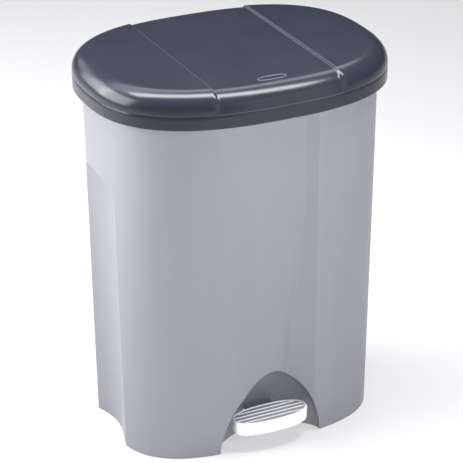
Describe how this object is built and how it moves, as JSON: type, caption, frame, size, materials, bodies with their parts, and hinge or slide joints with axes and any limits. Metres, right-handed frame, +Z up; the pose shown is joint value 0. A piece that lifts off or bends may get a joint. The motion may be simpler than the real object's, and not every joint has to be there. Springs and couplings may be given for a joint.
{
  "type": "pedal trash can",
  "caption": "Pedal trash can with an oval grey body, a dark domed lid, a foot tread in an arched niche and lift-out inner buckets.",
  "frame": {"origin": "on the floor, under the middle of the lid", "axes": "+X to the right as one faces the bin's front, -Y to the front where the tread is, +Z up"},
  "size_m": [0.39, 0.304, 0.511],
  "materials": {
    "body_plastic": "silver-grey injection-moulded polypropylene, satin",
    "lid_plastic": "anthracite injection-moulded polypropylene, satin",
    "tread_plastic": "pale grey moulded plastic with fine ribs",
    "bucket_plastic": "dark grey moulded polypropylene",
    "inner_plastic": "dark grey glass-filled plastic",
    "steel": "drawn, zinc-plated steel wire and rod"
  },
  "bodies": {
    "root": {"body_shell": "body_plastic", "bucket_left": "bucket_plastic", "bucket_right": "bucket_plastic", "hinge_pin_left": "steel", "hinge_pin_right": "steel", "pedal_axle": "steel", "axle_clip_left": "steel", "axle_clip_right": "steel", "rod_guide_lower": "inner_plastic", "rod_guide_upper": "inner_plastic"},
    "lid": {"lid": "lid_plastic", "lid_crank": "inner_plastic", "crank_screw_left": "steel", "crank_screw_right": "steel"},
    "pedal": {"pedal_tread": "tread_plastic", "pedal_lever": "inner_plastic", "tread_screw": "steel"},
    "rod": {"push_rod": "steel", "rod_clip": "steel"},
    "bail_left": {"bail_left": "steel", "bail_grip_left": "inner_plastic"},
    "bail_right": {"bail_right": "steel", "bail_grip_right": "inner_plastic"}
  },
  "joints": [
    {"name": "lid_hinge", "type": "hinge", "parent": "root", "child": "lid", "pos_m": [0, 0.147, 0.4605], "axis": [-1, 0, 0], "range_deg": [0, 84]},
    {"name": "pedal_press", "type": "hinge", "parent": "root", "child": "pedal", "pos_m": [0, -0.015, 0.032], "axis": [1, 0, 0], "range_deg": [0, 11]},
    {"name": "rod_lift", "type": "slide", "parent": "root", "child": "rod", "axis": [0, 0, 1], "range_m": [0, 0.02741]},
    {"name": "bail_left_swing", "type": "hinge", "parent": "root", "child": "bail_left", "pos_m": [-0.0855, 0, 0.4173], "axis": [-1, 0, 0], "range_deg": [0, 180]},
    {"name": "bail_right_swing", "type": "hinge", "parent": "root", "child": "bail_right", "pos_m": [0.0855, 0, 0.4173], "axis": [-1, 0, 0], "range_deg": [0, 180]}
  ],
  "couplings": [
    {"joint": "pedal_press", "follows": "lid_hinge", "ratio": 0.13095},
    {"joint": "rod_lift", "follows": "lid_hinge", "m_per_rad": 0.018694}
  ]
}
